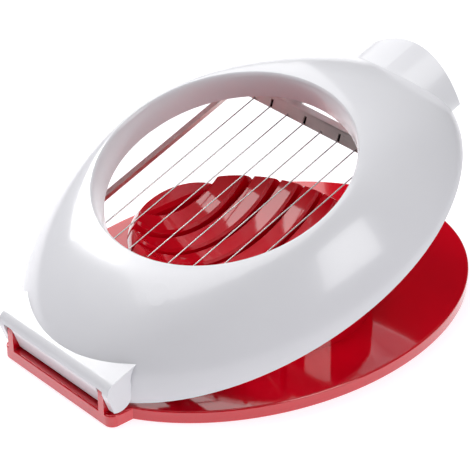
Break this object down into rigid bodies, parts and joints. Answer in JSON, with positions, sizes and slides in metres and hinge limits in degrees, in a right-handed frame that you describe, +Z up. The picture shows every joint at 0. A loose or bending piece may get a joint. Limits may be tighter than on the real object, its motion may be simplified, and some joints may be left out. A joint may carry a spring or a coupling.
{
  "type": "egg slicer",
  "caption": "Hinged egg slicer: oval base plate with a ribbed egg cradle, and a domed upper shell with a round opening, strung with parallel steel cutting wires.",
  "frame": {"origin": "centre of the base plate's underside", "axes": "+Z up from the table, +X along the hinge axis, +Y from the hinge towards the thumb tab"},
  "size_m": [0.0856, 0.1077, 0.0465],
  "materials": {
    "red_plastic": "deep red, high gloss",
    "white_plastic": "white, high gloss",
    "frame_steel": "polished stainless strip",
    "wire_steel": "drawn stainless wire",
    "pin_steel": "ground steel pin",
    "screw_steel": "zinc plated"
  },
  "bodies": {
    "base_body": {"base": "red_plastic", "hinge_pin_left": "pin_steel", "hinge_pin_right": "pin_steel"},
    "cutting_lid": {"upper_shell": "white_plastic", "far_rail": "frame_steel", "near_rail": "frame_steel", "left_side_bar": "frame_steel", "right_side_bar": "frame_steel", "frame_screws": "screw_steel", "cutting_wire_01": "wire_steel", "cutting_wire_02": "wire_steel", "cutting_wire_03": "wire_steel", "cutting_wire_04": "wire_steel", "cutting_wire_05": "wire_steel", "cutting_wire_06": "wire_steel", "cutting_wire_07": "wire_steel", "cutting_wire_08": "wire_steel", "cutting_wire_09": "wire_steel", "cutting_wire_10": "wire_steel"}
  },
  "joints": [
    {"name": "lid_hinge", "type": "hinge", "parent": "base_body", "child": "cutting_lid", "pos_m": [0, -0.05135, 0.007], "axis": [1, 0, 0], "range_deg": [-19.7, 70.3]}
  ]
}
